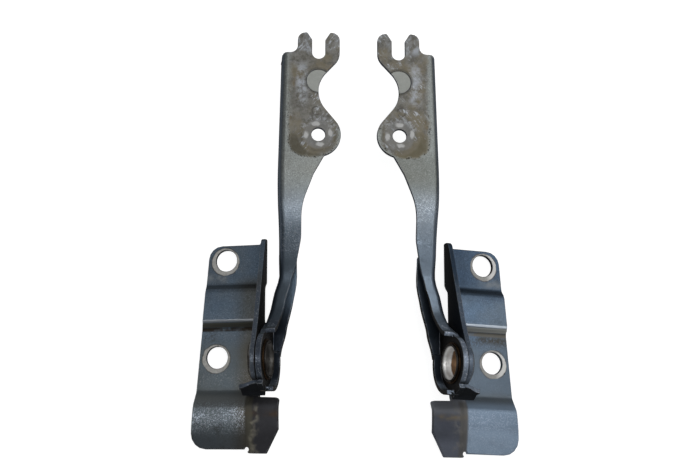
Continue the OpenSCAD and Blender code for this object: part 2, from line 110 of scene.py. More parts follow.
# How far a surface has to face up, from the first trace of a layer to all of it
LEVEL = (0.5, 0.8)
UPWARD = (0.3, 0.7)

# Step between two random draws, and the first draw of each finish
SEED_STEP = 1.7
HINGE_SEEDS = {RIGHT: 3.0, LEFT: 41.0}
ARM_SEED, RIVET_SEED, BUSH_SEED, WASHER_SEED = 7, 11, 13, 17

# Factors that darken, lift or warm a colour; several are painted shade or painted light
FLAKE_LIT = (1.48, 1.49, 1.51)
FLAKE_DIM = (0.70, 0.70, 0.70)
SMEAR_DIM = (0.86, 0.85, 0.82)
BRACKET_SHADE = {RIGHT: (0.62, 0.65, 0.69), LEFT: (0.78, 0.77, 0.76)}
HUMP_SHADE = (0.66, 0.67, 0.68)
BRIDGE_TOP_LIT = (1.14, 1.15, 1.15)
BRIDGE_FRONT_SHADE = (0.74, 0.77, 0.81)
FRONT_PAD_SHADE = (0.74, 0.77, 0.80)
FRONT_INNER_SHADE = (0.56, 0.60, 0.65)
INNER_WARM = (0.86, 0.70, 0.55)
REAR_END_SHADE = (0.68, 0.66, 0.66)
LOW_PLATE_DIM = (0.76, 0.76, 0.74)

# Strengths of layers that differ between the hinges
BLOTCH_STRENGTH = {RIGHT: 0.12, LEFT: 0.55}
BEND_HIGHLIGHT_STRENGTH = {RIGHT: 0.5, LEFT: 0.22}
HALO_STRENGTH = {RIGHT: 0.5, LEFT: 0.7}

# Colours of paint, dirt and metal, and of painted light and shade. A pair is the two ends of a mottled or
# nicked colour
SPECULAR_TINT = (0.18, 0.18, 0.18, 1)
DUST_FILM = (0.112, 0.111, 0.110)
# Painted shade on slopes and on upright faces, each the two ends of a mottled colour
SLOPE_SHADE = ((0.030, 0.036, 0.042), (0.044, 0.058, 0.074))
UPRIGHT_SHADE = ((0.004, 0.005, 0.007), (0.010, 0.012, 0.015))
EDGE_THIN = (0.15, 0.158, 0.168)
EDGE_RUST = (0.075, 0.05, 0.028)
PIT_DARK = (0.02, 0.018, 0.015)

BRACKET_BLUE = (0.118, 0.176, 0.250)
BRACKET_CLOUD = (0.136, 0.174, 0.216)
HUMP_LIT_BLUE = (0.22, 0.29, 0.38)
HUMP_FOOT_GREY = (0.16, 0.165, 0.16)
REAR_PAD_REFLECTION_GREY = {RIGHT: (0.148, 0.172, 0.192), LEFT: (0.125, 0.140, 0.140)}
PAD_SMEAR_GREY = {RIGHT: (0.165, 0.175, 0.18), LEFT: (0.24, 0.25, 0.255)}
RING_DARK = (0.17, 0.165, 0.155)
RING_PALE_AND_LIT = {RIGHT: (0.42, 0.41, 0.385), LEFT: (0.66, 0.64, 0.60)}
RING_HIGHLIGHT = (0.78, 0.77, 0.75)
RING_BORDER = (0.06, 0.05, 0.04)
DUST_BROWN = (0.048, 0.042, 0.032)
SPECKLE_BROWN = (0.040, 0.035, 0.026)
SLOPE_LIGHT_AND_SHADE = {RIGHT: (0.33, 0.335, 0.315), LEFT: (0.075, 0.074, 0.060)}
BEND_HIGHLIGHT = {RIGHT: (0.50, 0.55, 0.61), LEFT: (0.26, 0.275, 0.295)}
FOOT_DIRT = {RIGHT: (0.085, 0.080, 0.068), LEFT: (0.018, 0.013, 0.008)}
GROOVE_GREY = (0.078, 0.082, 0.080)
HUMP_FLAKE_HIGHLIGHT = (0.47, 0.52, 0.60)
PAD_FLAKE = (0.40, 0.42, 0.44)
BLOTCH_DARK = (0.04, 0.038, 0.034)
FLAP_GREYS = {RIGHT: ((0.042, 0.046, 0.058), (0.082, 0.088, 0.108)),
             LEFT: ((0.018, 0.018, 0.020), (0.040, 0.040, 0.045))}
FLAP_LIT_PALE = (0.110, 0.120, 0.150)
FLAP_FRONT_LIT = (0.150, 0.156, 0.170)
STREAK_BROWN = {RIGHT: (0.14, 0.112, 0.070), LEFT: (0.052, 0.032, 0.018)}
CREASE_GREY = {RIGHT: (0.090, 0.086, 0.078), LEFT: (0.062, 0.058, 0.044)}
CREASE_HIGHLIGHTS = {RIGHT: (0.18, 0.17, 0.15), LEFT: (0.26, 0.24, 0.19)}
BRACKET_LIP = ((0.085, 0.104, 0.135), (0.27, 0.30, 0.34))

ARM_GREY = (0.205, 0.222, 0.214)
ARM_CLOUD = (0.188, 0.198, 0.186)
SWEPT_SHADE = ((0.118, 0.150, 0.190), (0.160, 0.182, 0.205))
STRIP_SHADE = {RIGHT: (0.135, 0.172, 0.216), LEFT: (0.040, 0.053, 0.068)}
FLANK_SHADE = (0.034, 0.046, 0.066)
ARM_BEND_HIGHLIGHT = (0.52, 0.56, 0.61)
CHANNEL_SHADE = (0.020, 0.026, 0.036)
WEB_SHADE = ((0.005, 0.005, 0.005), (0.016, 0.014, 0.012))
CHANNEL_BLUE_SHEEN = (0.095, 0.130, 0.172)
EAR_LIP_AND_GLINTS = {RIGHT: ((0.150, 0.178, 0.225), (0.62, 0.66, 0.72)),
           LEFT: ((0.056, 0.066, 0.086), (0.34, 0.37, 0.42))}
TAB_SHADE = (0.008, 0.009, 0.011)
WORN_METAL = ((0.096, 0.090, 0.078), (0.190, 0.184, 0.168))
WORN_STAIN = (0.172, 0.146, 0.096)
WORN_SMUDGE = (0.066, 0.064, 0.060)
SCUFF_PALE = (0.42, 0.445, 0.48)
LANE_PALE = (0.36, 0.385, 0.42)
RUST_BROWN = (0.120, 0.078, 0.028)
CRESCENT_BROWN = {RIGHT: ((0.080, 0.070, 0.044), (0.140, 0.126, 0.088)),
                  LEFT: ((0.058, 0.052, 0.036), (0.104, 0.096, 0.072))}
RIM_SPECKS = (0.022, 0.020, 0.015)
HALO_DARK = (0.068, 0.064, 0.052)
SEAT_METAL = ((0.105, 0.104, 0.100), (0.215, 0.215, 0.212))
SEAT_SCUFF = (0.36, 0.375, 0.395)
BOLT_MARK = (0.40, 0.40, 0.395)
RECESS_PAINT = ((0.246, 0.254, 0.238), (0.312, 0.320, 0.300))
RECESS_LINE = (0.070, 0.067, 0.058)
PRESS_LINE = (0.055, 0.053, 0.048)
PRONG_RUB = (0.33, 0.35, 0.38)
PRONG_STAIN = (0.090, 0.076, 0.050)

# Pale, dark and grimy metal, and its roughness
RIVET_STEEL = ((0.055, 0.052, 0.048), (0.030, 0.028, 0.026), (0.014, 0.012, 0.010), 0.4)
BUSH_BRONZE = ((0.060, 0.034, 0.015), (0.028, 0.018, 0.011), (0.010, 0.008, 0.006), 0.5)
WASHER_STEEL = ((0.22, 0.215, 0.205), (0.13, 0.128, 0.12), (0.04, 0.034, 0.028), 0.45)
BORE_HIGHLIGHT_AND_METAL = {RIGHT: (0.85, 0.84, 0.82), LEFT: (0.07, 0.068, 0.064)}
BORE_STAIN = (0.15, 0.072, 0.022)

# How metallic the paint, the dull slope of the bridge, the worn plate and the small metal pieces are
PAINT_METALLIC, SLOPE_METALLIC, WORN_METALLIC, METAL_METALLIC = 0.68, 0.35, 0.6, 0.8

# Depths of relief, in metres
PEEL_DEPTH, FLAKE_DEPTH, METAL_DEPTH = 0.00005, 0.00008, 0.0001

# Bright marks round the bonnet bolt hole: direction in degrees, distance, and whether they lie along y
BOLT_MARKS = ((84, 7.6, False), (178, 8.2, True), (0, 8.4, True), (268, 7.2, False))
BOLT_MARK_TURN = 6

# Rounding of edges, and the distances below which points and slivers are merged, in metres
SHEET_EDGE, RIVET_EDGE, BUSH_EDGE = 0.00045, 0.00025, 0.0002
MERGE_POINTS, MERGE_SLIVERS = 0.00002, 0.0000003
FLAT_ANGLE, SHARP_ANGLE, CREASE_ANGLE = math.radians(0.6), math.radians(38), math.radians(50)

# Floor: half its width in metres, its grey, and how strongly it glows
FLOOR_REACH, FLOOR_GREY, FLOOR_GLOW = 12.0, 0.3, 0.9

# Lamps: name, place, aim, width, length and power
LAMPS = (("overhead_softbox", (0.80, 0.45, 1.3), (0.80, 0.45, 0), 2.0, 1.0, 10.5),
         ("strip_lamp", (0.0, -0.13, 1.3), (0.0, -0.13, 0), 2.2, 0.09, 5.6),
         ("right_rear_softbox", (1.15, -0.60, 1.2), (0.0, -0.1, 0.0), 0.9, 0.7, 1.6))
SKY_COLOUR, SKY_STRENGTH = (0.95, 0.98, 1.0, 1), 0.26

# Camera: angle above the ground, roll, place from the pivots' middle in millimetres, lens and shift
CAMERA_TILT, CAMERA_ROLL = math.radians(76), math.radians(1.2)
CAMERA_ASIDE, CAMERA_UP, CAMERA_BACK = -70, 84.83, 680
CAMERA_SENSOR, CAMERA_LENS, CAMERA_SHIFT = 36, 54.66, (0.131, -0.00325)


class Finish:
    """One surface finish, built up in layers of nodes.

    x, y and z are a point's place in millimetres in the frame of its part, mirrored on the left hinge.
    out_u, out_v and out_w say how far the surface there faces along each of them.
    """

    def __init__(self, name, part_turn, origin, side, seed):
        self.mat = bpy.data.materials.new(name)
        self.mat.use_nodes = True
        self.nodes = self.mat.node_tree.nodes
        self.links = self.mat.node_tree.links
        self.shader = self.nodes["Principled BSDF"]
        self.side = side
        self.seed = seed
        back = part_turn.to_matrix().inverted()
        coords = self.nodes.new("ShaderNodeTexCoord")
        mapping = self.nodes.new("ShaderNodeMapping")
        mapping.inputs["Scale"].default_value = (side * MM_PER_M, MM_PER_M, MM_PER_M)
        mapping.inputs["Rotation"].default_value = back.to_euler()
        mapping.inputs["Location"].default_value = -(back @ origin)
        self.links.new(coords.outputs["Object"], mapping.inputs["Vector"])
        self.place = mapping.outputs["Vector"]
        self.x, self.y, self.z = self.split(self.place)
        facing = self.nodes.new("ShaderNodeVectorRotate")
        facing.rotation_type = "EULER_XYZ"
        self.links.new(self.scaled(coords.outputs["Normal"], (side, 1, 1)), facing.inputs["Vector"])
        facing.inputs["Rotation"].default_value = back.to_euler()
        self.out_u, self.out_v, self.out_w = self.split(facing.outputs[0])

    def own(self, values):
        """The one of two values that is this hinge's."""
        return values[self.side]

    def feed(self, value, socket):
        """Links a socket to a socket, or sets a number or a colour on it."""
        if isinstance(value, bpy.types.NodeSocket):
            self.links.new(value, socket)
        elif hasattr(socket.default_value, "__len__") and not hasattr(value, "__len__"):
            socket.default_value = (value,) * len(socket.default_value)
        elif hasattr(value, "__len__") and len(value) == 3 and len(socket.default_value) == 4:
            socket.default_value = (*value, 1)
        else:
            socket.default_value = value

    def split(self, vector):
        node = self.nodes.new("ShaderNodeSeparateXYZ")
        self.links.new(vector, node.inputs[0])
        return node.outputs

    def scaled(self, vector, factors):
        node = self.nodes.new("ShaderNodeVectorMath")
        node.operation = "MULTIPLY"
        self.links.new(vector, node.inputs[0])
        node.inputs[1].default_value = factors
        return node.outputs[0]

    def calc(self, kind, a, b=0.0):
        node = self.nodes.new("ShaderNodeMath")
        node.operation = kind
        self.feed(a, node.inputs[0])
        self.feed(b, node.inputs[1])
        return node.outputs[0]

    def plus(self, a, b):
        return self.calc("ADD", a, b)

    def minus(self, a, b):
        return self.calc("SUBTRACT", a, b)

    def times(self, *values):
        total = values[0]
        for value in values[1:]:
            total = self.calc("MULTIPLY", total, value)
        return total

    def most(self, a, b):
        return self.calc("MAXIMUM", a, b)

    def length(self, a, b):
        return self.calc("SQRT", self.plus(self.times(a, a), self.times(b, b)))

    def rise(self, value, low, high):
        """0 below low, 1 above high, smooth between; falls where low is the larger."""
        node = self.nodes.new("ShaderNodeMapRange")
        node.interpolation_type = "SMOOTHSTEP"
        self.feed(value, node.inputs["Value"])
        node.inputs["From Min"].default_value = min(low, high)
        node.inputs["From Max"].default_value = max(low, high)
        if low > high:
            node.inputs["To Min"].default_value = 1.0
            node.inputs["To Max"].default_value = 0.0
        return node.outputs["Result"]

    def within(self, value, low, high, soft):
        """1 between low and high, with borders this soft to either side of each."""
        begun = self.rise(value, low - soft, low + soft)
        return self.times(begun, self.rise(value, high + soft, high - soft))

    def draw(self):
        """The next random draw."""
        self.seed += SEED_STEP
        return self.seed

    def grain(self, size, detail=3, rough=0.6, stretch=None, slant=0):
        """Cloudy pattern with blotches about this many millimetres across, turned and drawn out if asked."""
        node = self.nodes.new("ShaderNodeTexNoise")
        node.noise_dimensions = "4D"
        node.inputs["W"].default_value = self.draw()
        node.inputs["Scale"].default_value = 1.0 / size
        node.inputs["Detail"].default_value = detail
        node.inputs["Roughness"].default_value = rough
        place = self.place
        if slant:
            turned = self.nodes.new("ShaderNodeVectorRotate")
            turned.rotation_type = "Z_AXIS"
            self.links.new(place, turned.inputs["Vector"])
            turned.inputs["Angle"].default_value = math.radians(slant)
            place = turned.outputs[0]
        if stretch:
            place = self.scaled(place, stretch)
        self.links.new(place, node.inputs["Vector"])
        return node.outputs["Fac"]

    def patches(self, size, low, high, detail=3, rough=0.6, stretch=None, slant=0):
        """Soft patches, where a cloudy pattern rises from low to high."""
        return self.rise(self.grain(size, detail, rough, stretch, slant), low, high)

    def wander(self, size, detail, rough, reach):
        """Cloudy shift for a border, by up to half the reach to either side."""
        return self.times(self.minus(self.grain(size, detail, rough), 0.5), reach)

    def specks(self, size):
        """Distance to the nearest of many scattered points, about this many millimetres apart."""
        node = self.nodes.new("ShaderNodeTexVoronoi")
        node.voronoi_dimensions = "4D"
        node.inputs["W"].default_value = self.draw()
        node.inputs["Scale"].default_value = 1.0 / size
        self.links.new(self.place, node.inputs["Vector"])
        return node.outputs["Distance"]

    def offset(self, u, v):
        """How far along x and y from an upright line through this place."""
        return self.minus(self.x, u), self.minus(self.y, v)

    def distance(self, u, v):
        return self.length(*self.offset(u, v))

    def tint(self, share, under, over, blend="MIX"):
        node = self.nodes.new("ShaderNodeMix")
        node.data_type = "RGBA"
        node.blend_type = blend
        self.feed(share, node.inputs["Factor"])
        self.feed(under, node.inputs[6])
        self.feed(over, node.inputs[7])
        return node.outputs[2]

    def coat(self, under, over, strength, *masks):
        """Lays one colour over another, at this strength where every mask is full."""
        return self.tint(self.times(*masks, strength), under, over)

    def shade(self, under, factor, strength, *masks):
        """Multiplies a colour by another, at this strength where every mask is full."""
        return self.tint(self.times(*masks, strength), under, factor, "MULTIPLY")

    def blend(self, share, under, over):
        node = self.nodes.new("ShaderNodeMix")
        self.feed(share, node.inputs["Factor"])
        self.feed(under, node.inputs[2])
        self.feed(over, node.inputs[3])
        return node.outputs[0]

    def edge(self):
        """1 on the rounded edges, 0 elsewhere."""
        node = self.nodes.new("ShaderNodeAttribute")
        node.attribute_name = "edge"
        return node.outputs["Fac"]

    def relief(self, height, depth, below=None):
        node = self.nodes.new("ShaderNodeBump")
        node.inputs["Strength"].default_value = 1.0
        node.inputs["Distance"].default_value = depth
        self.links.new(height, node.inputs["Height"])
        if below:
            self.links.new(below, node.inputs["Normal"])
        return node.outputs["Normal"]

    def done(self, colour, roughness, metallic, normal):
        self.feed(colour, self.shader.inputs["Base Color"])
        self.feed(roughness, self.shader.inputs["Roughness"])
        self.feed(metallic, self.shader.inputs["Metallic"])
        self.shader.inputs["Specular Tint"].default_value = SPECULAR_TINT
        self.links.new(normal, self.shader.inputs["Normal"])
        return self.mat


def paint_layers(f, base, cloud):
    """Satin paint with faint clouds, a film of dust, fine flake and an orange-peel relief, and painted shade
    on slopes and upright faces.
    """
    colour = f.tint(f.patches(26, 0.35, 0.7), base, cloud)
    colour = f.coat(colour, DUST_FILM, 0.22)
    fleck = f.grain(0.75, 2, 0.75)
    colour = f.shade(colour, FLAKE_LIT, 1.0, f.rise(fleck, 0.5, 0.72))
    colour = f.shade(colour, FLAKE_DIM, 1.0, f.rise(fleck, 0.48, 0.3))
    smear = f.grain(9, 4, 0.65)
    colour = f.shade(colour, SMEAR_DIM, 1.0, f.rise(smear, 0.55, 0.8))
    rough = f.blend(f.rise(smear, 0.4, 0.75), 0.30, 0.42)
    peel = f.relief(f.grain(1.6, 2, 0.5), PEEL_DEPTH)
    normal = f.relief(fleck, FLAKE_DEPTH, peel)
    # Slopes and upright faces are dull, and painted dark as shade, inward upright faces most
    tilted = f.most(f.rise(f.out_v, 0.35, 0.75), f.rise(f.out_v, -0.5, -0.85))
    colour = f.coat(colour, f.tint(f.grain(12), *SLOPE_SHADE), 0.72, tilted)
    upright = f.rise(f.calc("ABSOLUTE", f.out_w), 0.5, 0.12)
    inward = f.blend(f.rise(f.out_u, -0.3, 0.3), 0.95, 0.3)
    colour = f.coat(colour, f.tint(f.grain(8), *UPRIGHT_SHADE), 1.0, upright, inward)
    rough = f.blend(f.most(upright, tilted), rough, 0.75)
    return colour, rough, normal, fleck


def edge_wear(f, colour, rough):
    """Paint worn thin on the edges of the sheet, with rust in places, and a few dark pits in its faces."""
    edge = f.times(f.edge(), f.rise(f.out_w, 0.15, 0.7))
    colour = f.coat(colour, EDGE_THIN, 0.6, edge, f.patches(5, 0.42, 0.62))
    colour = f.coat(colour, EDGE_RUST, 0.55, edge, f.patches(11, 0.54, 0.68))
    pits = f.times(f.rise(f.specks(6), 0.11, 0.06), f.patches(20, 0.52, 0.6, 2, 0.5))
    colour = f.coat(colour, PIT_DARK, 0.85, pits)
    return colour, f.blend(pits, rough, 0.75)


def bracket_tones(f, colour):
    """The rear pad is painted greyer than the front one as a painted reflection, and each hinge has its own
    painted shade and light: a lit blue rear hump, a shaded band on the hump, a lit bridge top and shaded
    front pads on the right hinge, and a shaded rear end on the left.
    """
    # Painted reflection: the rear pad greyer than the front one
    colour = f.coat(colour, f.own(REAR_PAD_REFLECTION_GREY), 0.65, f.rise(f.y, *REAR_PAD))
    # Painted shade over the whole bracket, deeper on the right hinge
    colour = f.shade(colour, f.own(BRACKET_SHADE), 1.0)
    if f.side == RIGHT:
        # Painted light and shade on the right hinge: a lit blue rear hump, a shaded band across the hump, a
        # lit bridge top, and shaded front pads, darkest inward
        colour = f.coat(colour, HUMP_LIT_BLUE, 0.8, f.rise(f.y, *HUMP_REAR))
        colour = f.shade(colour, HUMP_SHADE, 1.0, f.within(f.y, *HUMP_DULL))
        colour = f.shade(colour, BRIDGE_TOP_LIT, 1.0, f.within(f.y, *BRIDGE_TOP))
        colour = f.shade(colour, BRIDGE_FRONT_SHADE, 0.9, f.within(f.y, *BRIDGE_FRONT))
        front = f.rise(f.y, *FRONT_PAD)
        colour = f.shade(colour, FRONT_PAD_SHADE, 0.9, front)
        colour = f.shade(colour, FRONT_INNER_SHADE, 0.9, front, f.rise(f.x, 28, 12))
    else:
        colour = f.shade(colour, INNER_WARM, 1.0, f.rise(f.x, 27, 12), f.rise(f.y, 64, 52))
        colour = f.coat(colour, HUMP_FOOT_GREY, 0.45, f.within(f.y, *HUMP_FOOT))
        # Painted shade towards the rear end of the left bracket
        colour = f.shade(colour, REAR_END_SHADE, 0.85, f.rise(f.y, *REAR_END))
    smear = f.times(f.within(f.y, *PAD_SMEAR), f.rise(f.x, 24, 33), f.patches(7, 0.3, 0.6))
    return f.coat(colour, f.own(PAD_SMEAR_GREY), 0.6, smear)


def washer_rings(f, colour, rough):
    """Bare ring that each body bolt's washer left, a little off the hole's middle; its pale metal is painted
    lighter on the left hinge as painted light, and the right hinge's rings get a painted highlight on one
    side.
    """
    for u, v in (FRONT_HOLE, REAR_HOLE):
        du, dv = f.offset(u + WASHER_SHIFT[0], v + WASHER_SHIFT[1])
        ragged = f.plus(f.length(du, dv), f.wander(3.5, 3, 0.6, 1.8))
        on_pad = f.times(f.rise(f.z, PAD_LEVEL - 2, PAD_LEVEL - 1), f.rise(f.out_w, *LEVEL))
        ring = f.times(f.rise(ragged, 10.0, 9.3), on_pad)
        bare = f.tint(f.grain(1.2, 3, 0.7), RING_DARK, f.own(RING_PALE_AND_LIT))
        if f.side == RIGHT:
            # Painted highlight on one side of the right hinge's rings
            bare = f.coat(bare, RING_HIGHLIGHT, 0.6, f.rise(du, 1, 6))
        colour = f.coat(colour, bare, 0.9, ring)
        border = f.times(f.within(ragged, 9.5, 10.3, 0.3), f.patches(6, 0.35, 0.55, 2, 0.5))
        colour = f.coat(colour, RING_BORDER, 0.6, border)
        rough = f.blend(ring, rough, 0.55)
    return colour, rough


def bridge_dirt(f, colour):
    """Dirt along the rear foot of the bridge, fine dust behind it, a dull slope painted pale on the right
    hinge and dark on the left as light falls there, and a painted highlight on the bend above.
    """
    outward = f.rise(f.x, 4, 9)
    dust = f.times(f.within(f.y, *DUST_BAND), f.patches(1.3, 0.46, 0.62, 4, 0.8),
                   f.patches(16, 0.38, 0.55, 2, 0.5))
    colour = f.coat(colour, DUST_BROWN, 0.75, dust, outward)
    if f.side == RIGHT:
        speckle = f.times(f.within(f.y, *SPECKLE_BAND), f.rise(f.x, 20, 28),
                          f.patches(1.6, 0.34, 0.54, 4, 0.8))
        colour = f.coat(colour, SPECKLE_BROWN, 0.8, speckle)
    # Painted light on the right hinge's rear slope, and painted shade on the left one's
    slope = f.times(f.rise(f.out_v, -0.4, -0.75), f.within(f.y, *BRIDGE_SLOPE), outward)
    colour = f.coat(colour, f.own(SLOPE_LIGHT_AND_SHADE), 0.9, slope)
    # Painted highlight along the bend at the top of the rear slope
    bend_highlight = f.times(f.within(f.out_v, -0.42, -0.08, 0.09), f.within(f.y, *BRIDGE_BEND), outward)
    colour = f.coat(colour, f.own(BEND_HIGHLIGHT), 0.85, bend_highlight)
    foot = f.times(f.within(f.y, *BRIDGE_FOOT), outward)
    colour = f.coat(colour, f.own(FOOT_DIRT), 0.95, foot, f.patches(9, 0.25, 0.5))
    return colour, slope


def hump_flake(f, colour, fleck):
    """A dull groove in front of the hump, flake with a painted highlight on the hump's crest, and dark
    blotches behind it.
    """
    colour = f.coat(colour, GROOVE_GREY, 0.35, f.within(f.y, *HUMP_GROOVE))
    # Painted highlight: pale flake over the hump's crest, reaching to its rear on the right hinge
    crest = f.rise(f.y, -24, -30) if f.side == RIGHT else f.within(f.y, *HUMP_CREST)
    bare = f.patches(13, 0.28, 0.62)
    strength = 0.22 if f.side == RIGHT else f.blend(bare, 0.35, 0.8)
    colour = f.coat(colour, HUMP_FLAKE_HIGHLIGHT, strength, crest, f.rise(fleck, 0.47, 0.66))
    if f.side == LEFT:
        colour = f.coat(colour, PAD_FLAKE, 0.24, f.within(f.y, *REAR_PAD_FLAKE), f.rise(fleck, 0.5, 0.68))
    blotch = f.times(f.rise(f.y, *BLOTCHED), f.patches(9, 0.50, 0.66, 4, 0.65))
    return f.coat(colour, BLOTCH_DARK, f.own(BLOTCH_STRENGTH), blotch)


def flap_tones(f, colour, rough):
    """Darker greys over the flap with a brown streak across it, painted light on parts of the right hinge's
    flap, and a crease where it bends down with spots of painted highlight.
    """
    flap = f.times(f.rise(f.x, 14.6, 12.6), f.rise(f.y, *FLAP))
    colour = f.coat(colour, f.tint(f.grain(10), *f.own(FLAP_GREYS)), 0.985, flap)
    rough = f.blend(f.times(flap, 0.7), rough, 0.62)
    if f.side == RIGHT:
        # Painted light on the right flap's forward-facing part, its rear end and its front
        lit = f.most(f.rise(f.out_v, 0.12, 0.35), f.rise(f.y, -44, -52))
        colour = f.coat(colour, FLAP_LIT_PALE, 0.8, flap, lit)
        colour = f.coat(colour, FLAP_FRONT_LIT, 0.8, flap, f.rise(f.y, -33, -27))
    streak = f.times(flap, f.within(f.y, *FLAP_STREAK), f.patches(7, 0.32, 0.58))
    colour = f.coat(colour, f.own(STREAK_BROWN), 0.75, streak)
    behind = f.rise(f.y, *CREASE)
    colour = f.coat(colour, f.own(CREASE_GREY), 0.75, f.within(f.x, 9.0, 14.0, 1.2), behind)
    # Spots of painted highlight along the crease
    crease_highlights = f.times(f.within(f.x, 5.5, 11.5, 1.5), behind, f.patches(5.0, 0.46, 0.70, 2, 0.5))
    return f.coat(colour, f.own(CREASE_HIGHLIGHTS), 0.36, crease_highlights), rough


def bracket_finish(side, seed):
    f = Finish(SIDE_NAMES[side] + "_bracket_paint", BRACKET_TURN, PIVOT, side, seed)
    colour, rough, normal, fleck = paint_layers(f, BRACKET_BLUE, BRACKET_CLOUD)
    colour = bracket_tones(f, colour)
    colour, rough = washer_rings(f, colour, rough)
    colour, slope = bridge_dirt(f, colour)
    colour = hump_flake(f, colour, fleck)
    colour, rough = flap_tones(f, colour, rough)
    # Flange and ear edges are blue-grey on top, with pale nicks
    lip = f.times(f.rise(f.z, -6, 0), f.rise(f.out_w, *UPWARD))
    nicks = f.patches(1.6, 0.52, 0.68, 4, 0.75)
    colour = f.coat(colour, f.tint(nicks, *BRACKET_LIP), 0.8, lip)
    colour, rough = edge_wear(f, colour, rough)
    return f.done(colour, rough, f.blend(slope, PAINT_METALLIC, SLOPE_METALLIC), normal)


def arm_tones(f, colour, fleck, top):
    """Painted shade: a cooler darker grey below the plate, a darker strip below that and dark flanks; and
    flake with a painted highlight at the bend.
    """
    upward = f.rise(f.out_w, *UPWARD)
    # Painted shade on the part that slopes down below the plate
    lower = f.times(f.rise(f.y, *SWEPT_PART), upward)
    colour = f.coat(colour, f.tint(f.grain(18), *SWEPT_SHADE), 0.9, lower)
    # Painted shade on the strip, deeper on the left hinge
    strip = f.times(f.rise(f.y, *f.own(STRIP)), upward)
    colour = f.coat(colour, f.own(STRIP_SHADE), 0.8, strip)
    # Painted shade on faces turned sideways
    flank = f.rise(f.calc("ABSOLUTE", f.out_u), 0.26, 0.82)
    colour = f.coat(colour, FLANK_SHADE, 0.85, flank)
    if f.side == RIGHT:
        colour = f.shade(colour, LOW_PLATE_DIM, 0.9, f.within(f.y, *LOW_PLATE), top)
    # Painted highlight: flake brightened across the cross bend, and on the left hinge's strip too
    flake = f.times(f.within(f.y, *CROSS_BEND), f.rise(fleck, 0.48, 0.66), top, f.own(BEND_HIGHLIGHT_STRENGTH))
    if f.side == LEFT:
        flake = f.most(flake, f.times(strip, f.rise(f.y, 66, 76), f.rise(fleck, 0.48, 0.68), 0.2))
    return f.tint(flake, colour, ARM_BEND_HIGHLIGHT)


def channel_and_ear(f, colour):
    """Painted shade in the channel and on the web, with a painted blue sheen in the left channel; nicked
    blue-grey edges on ear and tab, with painted highlights on the right ear; and painted shade making the tab
    nearly black behind.
    """
    channel = f.times(f.rise(f.y, *CHANNEL), f.rise(f.z, -9.5, -12.5))
    # Painted shade in the channel and on the web
    colour = f.coat(colour, CHANNEL_SHADE, 0.9, channel)
    web = f.times(f.rise(f.y, *WEB), f.rise(f.out_u, -0.35, -0.75))
    colour = f.coat(colour, f.tint(f.grain(6), *WEB_SHADE), 0.96, web)
    if f.side == LEFT:
        # Painted blue sheen in the left hinge's channel
        colour = f.coat(colour, CHANNEL_BLUE_SHEEN, 0.9, f.most(channel, web), f.within(f.y, *CHANNEL_SHEEN))
    lip = f.times(f.rise(f.y, *EAR), f.rise(f.out_w, 0.4, 0.75), f.rise(f.z, -12, -8))
    nicks = f.patches(1.6, 0.52, 0.68, 4, 0.75)
    # Nicks, brightened into painted highlights on the right hinge's ear
    colour = f.coat(colour, f.tint(nicks, *f.own(EAR_LIP_AND_GLINTS)), 0.85, lip)
    # Painted shade on the back of the tab
    return f.coat(colour, TAB_SHADE, 0.95, f.rise(f.y, *TAB_BACK), f.rise(f.out_v, -0.2, -0.5))


def worn_patch(f, colour, top):
    """Stained bare metal where the bonnet's skin rubbed, round the bolt hole and up to the fork."""
    wobble = f.wander(8, 4, 0.65, 8)
    corner = f.distance(BOLT_X + 5, BOLT_HOLE_Y + 1.5)
    round_end = f.rise(f.plus(corner, wobble), 19.5, 17.0)
    inside = f.times(f.rise(f.plus(f.x, wobble), BOLT_X + 22, BOLT_X + 17.5),
                     f.rise(f.plus(f.y, wobble), BOLT_HOLE_Y - 17.5, BOLT_HOLE_Y - 14.5),
                     f.most(round_end, f.rise(f.y, BOLT_HOLE_Y + 2, BOLT_HOLE_Y + 8)))
    worn = f.times(inside, top)
    mottled = f.grain(5, 6, 0.75)
    metal = f.tint(f.rise(mottled, 0.36, 0.64), *WORN_METAL)
    metal = f.coat(metal, WORN_STAIN, 0.65, f.patches(14, 0.46, 0.64))
    metal = f.coat(metal, WORN_SMUDGE, 0.6, f.patches(6, 0.55, 0.68, 5, 0.7))
    scuffs = f.patches(2.4, 0.52, 0.64, 5, 0.8, (1.0, 0.32, 1.0), -38)
    metal = f.coat(metal, SCUFF_PALE, 0.95, scuffs, f.patches(13, 0.44, 0.56, 2, 0.5))
    colour = f.coat(colour, metal, 0.94, worn)
    # A pale rubbed lane beside the recess, and rust beside the outer strip
    lane = f.times(worn, f.within(f.plus(f.x, f.times(wobble, 0.6)), BOLT_X + 8, BOLT_X + 15, 2.5),
                   f.within(f.y, SLOT_END_Y - 38, SLOT_END_Y - 9, 6), f.rise(mottled, 0.38, 0.62))
    colour = f.coat(colour, LANE_PALE, 0.8, lane)
    rust = f.times(worn, f.within(f.x, BOLT_X + 16.5, BOLT_X + 20.5, 2),
                   f.patches(6, 0.52, 0.66, 4, 0.7, (1, 0.4, 1)))
    colour = f.coat(colour, RUST_BROWN, 0.75, rust)
    # Brown crescent below the hole with a line of dark specks along its border
    crescent = f.times(worn, f.rise(f.distance(BOLT_X, BOLT_HOLE_Y), 12.8, 15.5),
                       f.rise(f.y, BOLT_HOLE_Y + 4, BOLT_HOLE_Y - 5))
    colour = f.coat(colour, f.tint(mottled, *f.own(CRESCENT_BROWN)), 0.85, crescent)
    rim = f.times(f.within(inside, 0.06, 0.6, 0.1), f.rise(f.y, BOLT_HOLE_Y + 52, BOLT_HOLE_Y - 10), top)
    colour = f.coat(colour, RIM_SPECKS, 0.95, rim, f.patches(1.2, 0.52, 0.60, 2, 0.6))
    return colour, worn, wobble, mottled


